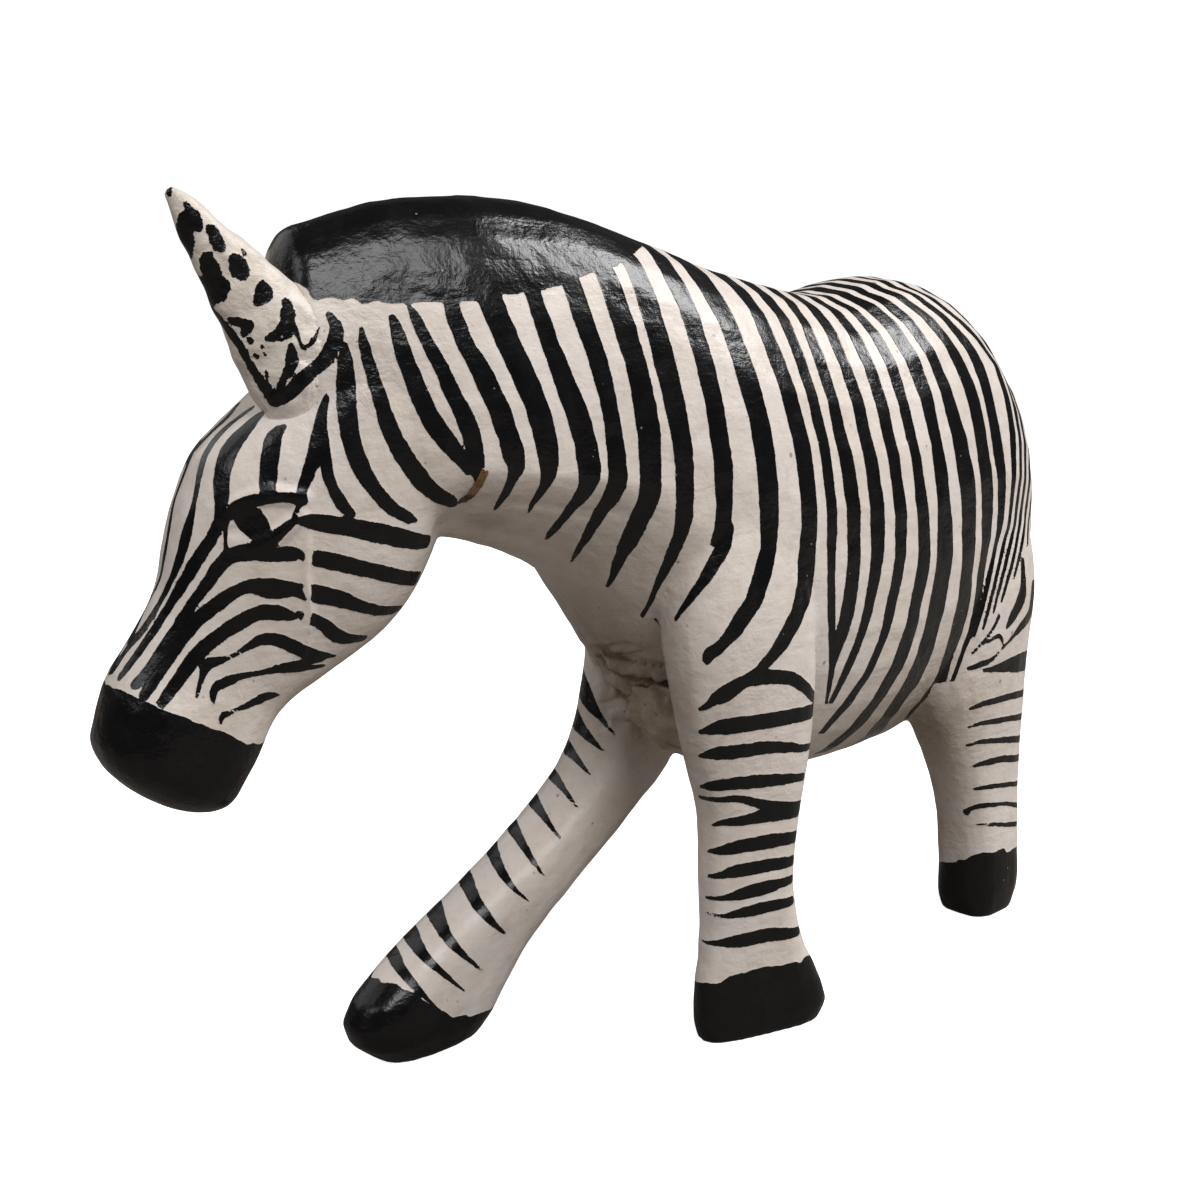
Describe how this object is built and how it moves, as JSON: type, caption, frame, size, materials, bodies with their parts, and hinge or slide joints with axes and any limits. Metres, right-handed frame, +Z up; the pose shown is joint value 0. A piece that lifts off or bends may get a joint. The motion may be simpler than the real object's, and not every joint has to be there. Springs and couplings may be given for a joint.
{
  "type": "carved wooden zebra figure",
  "caption": "Free-standing hand-carved wooden zebra, painted in black and cream stripes, walking with its head lowered and turned; stands on the soles of its hooves.",
  "frame": {"origin": "centre of the bounding box's footprint, on the plane the hooves stand on", "axes": "+Y from the chest towards the rump, +X towards the animal's left side, +Z up"},
  "size_m": [0.0625, 0.216, 0.1555],
  "materials": {
    "painted_wood": "gloss black stripes brushed over an off-white ground",
    "bare_wood": "bare turned softwood dowel, glued in",
    "putty": "wood filler, smeared by hand and painted over",
    "glue": "brown hardened glue squeezed out of the seam"
  },
  "bodies": {
    "root": {"trunk": "painted_wood", "head_block": "painted_wood", "face_block": "painted_wood", "left_ear": "painted_wood", "right_ear": "painted_wood", "left_front_leg": "painted_wood", "right_front_leg": "painted_wood", "left_hind_leg": "painted_wood", "right_hind_leg": "painted_wood", "tail": "painted_wood", "head_dowels": "bare_wood", "face_pegs": "bare_wood", "left_front_dowels": "bare_wood", "right_front_dowels": "bare_wood", "left_hind_dowel": "bare_wood", "right_hind_dowel": "bare_wood", "left_ear_peg": "bare_wood", "right_ear_peg": "bare_wood", "tail_peg": "bare_wood", "left_ear_putty": "putty", "right_ear_putty": "putty", "throat_glue": "glue", "chest_putty": "putty"}
  },
  "joints": []
}
